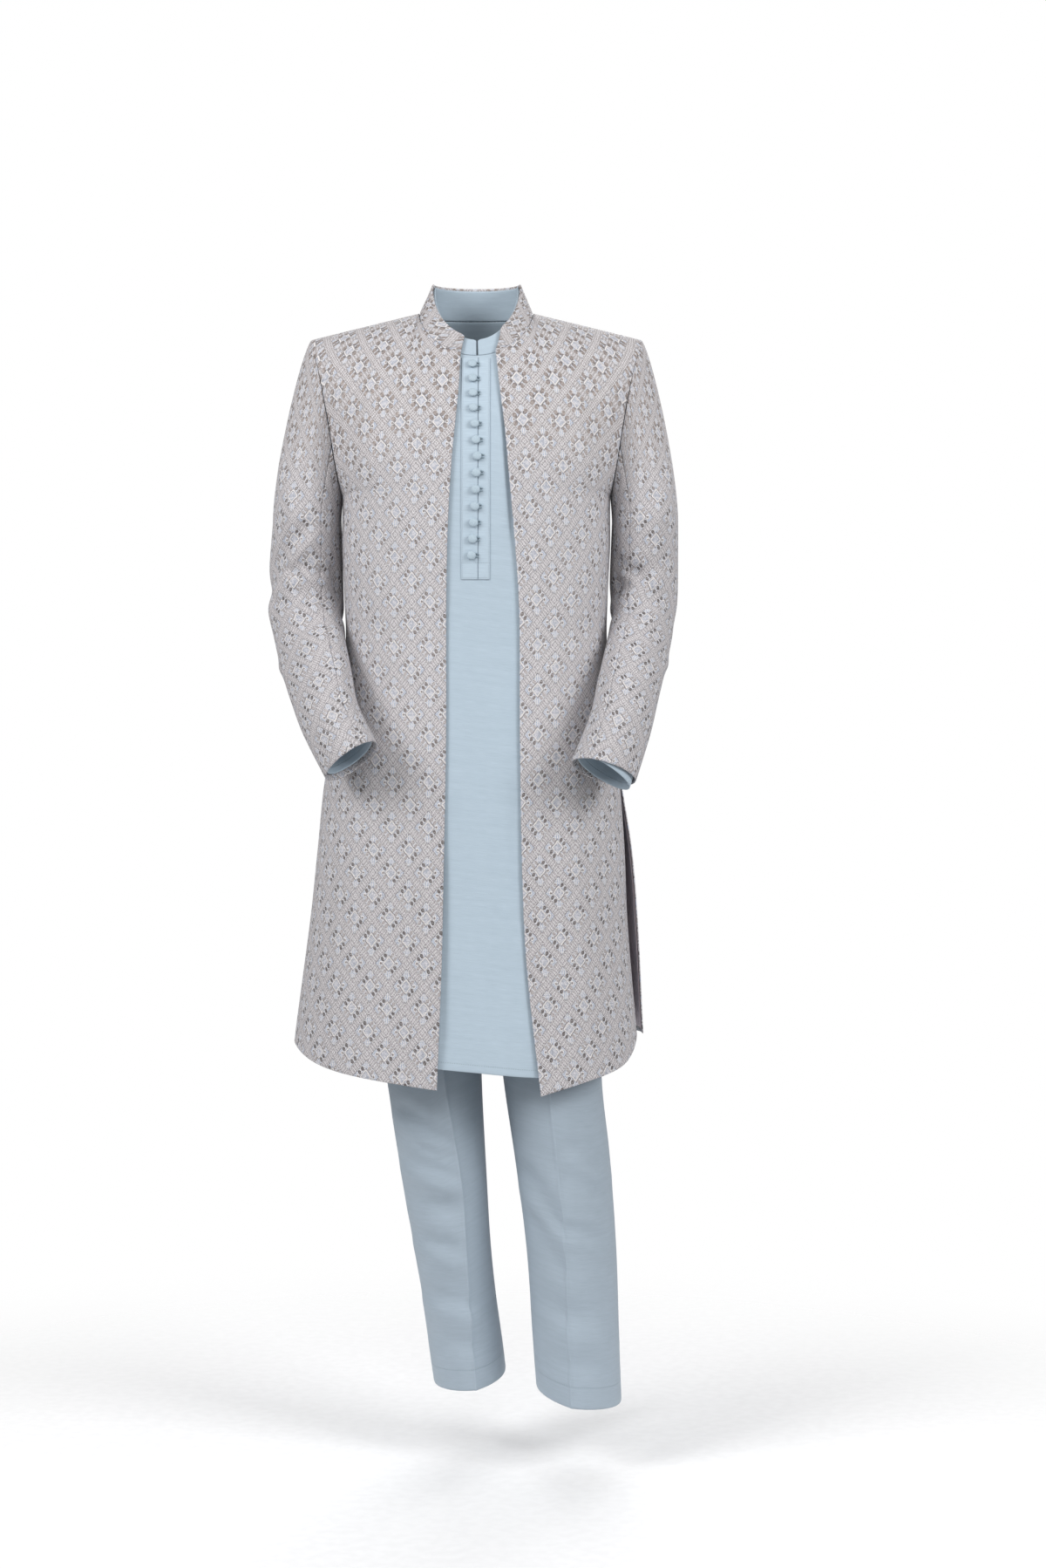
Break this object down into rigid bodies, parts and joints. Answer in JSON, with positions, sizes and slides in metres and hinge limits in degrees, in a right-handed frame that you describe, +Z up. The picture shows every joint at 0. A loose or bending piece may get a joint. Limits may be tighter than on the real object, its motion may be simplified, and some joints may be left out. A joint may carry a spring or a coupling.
{
  "type": "prince coat set",
  "caption": "Open knee-length stand-collar coat over a long looped-button tunic and creased trousers, hollow as worn, with open neck, cuffs and hems.",
  "frame": {"origin": "centre of the base of the neck, level with the points where the shoulder seams meet the collar", "axes": "+Z up along the body, the front faces -Y, the wearer's right is at -X"},
  "size_m": [0.5648, 0.3571, 1.5232],
  "materials": {
    "coat_cloth": "pale blue-grey cloth covered in a small diamond lattice of pale and dark grey-brown embroidery, satin sheen on the stitches",
    "coat_lining": "smooth mauve satin lining",
    "kurta_cloth": "soft powder blue plain weave with a fine slub across",
    "button_cloth": "powder blue cloth drawn over a small domed button",
    "loop_cord": "thin powder blue bias-cut loop",
    "trouser_cloth": "dusty blue plain weave, pressed"
  },
  "bodies": {
    "root": {"coat_front_right": "coat_cloth", "coat_front_left": "coat_cloth", "coat_back": "coat_cloth", "coat_topsleeve_right": "coat_cloth", "coat_undersleeve_right": "coat_cloth", "coat_topsleeve_left": "coat_cloth", "coat_undersleeve_left": "coat_cloth", "coat_collar": "coat_cloth", "coat_back_lining": "coat_lining", "kurta_collar": "kurta_cloth", "kurta_front": "kurta_cloth", "kurta_back": "kurta_cloth", "kurta_sleeve_right": "kurta_cloth", "kurta_sleeve_left": "kurta_cloth", "kurta_placket_button_side": "kurta_cloth", "kurta_placket_loop_side": "kurta_cloth", "kurta_button_01": "button_cloth", "kurta_button_02": "button_cloth", "kurta_button_03": "button_cloth", "kurta_button_04": "button_cloth", "kurta_button_05": "button_cloth", "kurta_button_06": "button_cloth", "kurta_button_07": "button_cloth", "kurta_button_08": "button_cloth", "kurta_button_09": "button_cloth", "kurta_button_10": "button_cloth", "kurta_button_11": "button_cloth", "kurta_button_12": "button_cloth", "kurta_button_13": "button_cloth", "kurta_loop_01": "loop_cord", "kurta_loop_02": "loop_cord", "kurta_loop_03": "loop_cord", "kurta_loop_04": "loop_cord", "kurta_loop_05": "loop_cord", "kurta_loop_06": "loop_cord", "kurta_loop_07": "loop_cord", "kurta_loop_08": "loop_cord", "kurta_loop_09": "loop_cord", "kurta_loop_10": "loop_cord", "kurta_loop_11": "loop_cord", "kurta_loop_12": "loop_cord", "kurta_loop_13": "loop_cord", "trouser_front_right": "trouser_cloth", "trouser_back_right": "trouser_cloth", "trouser_front_left": "trouser_cloth", "trouser_back_left": "trouser_cloth", "trouser_waistband": "trouser_cloth"}
  },
  "joints": []
}
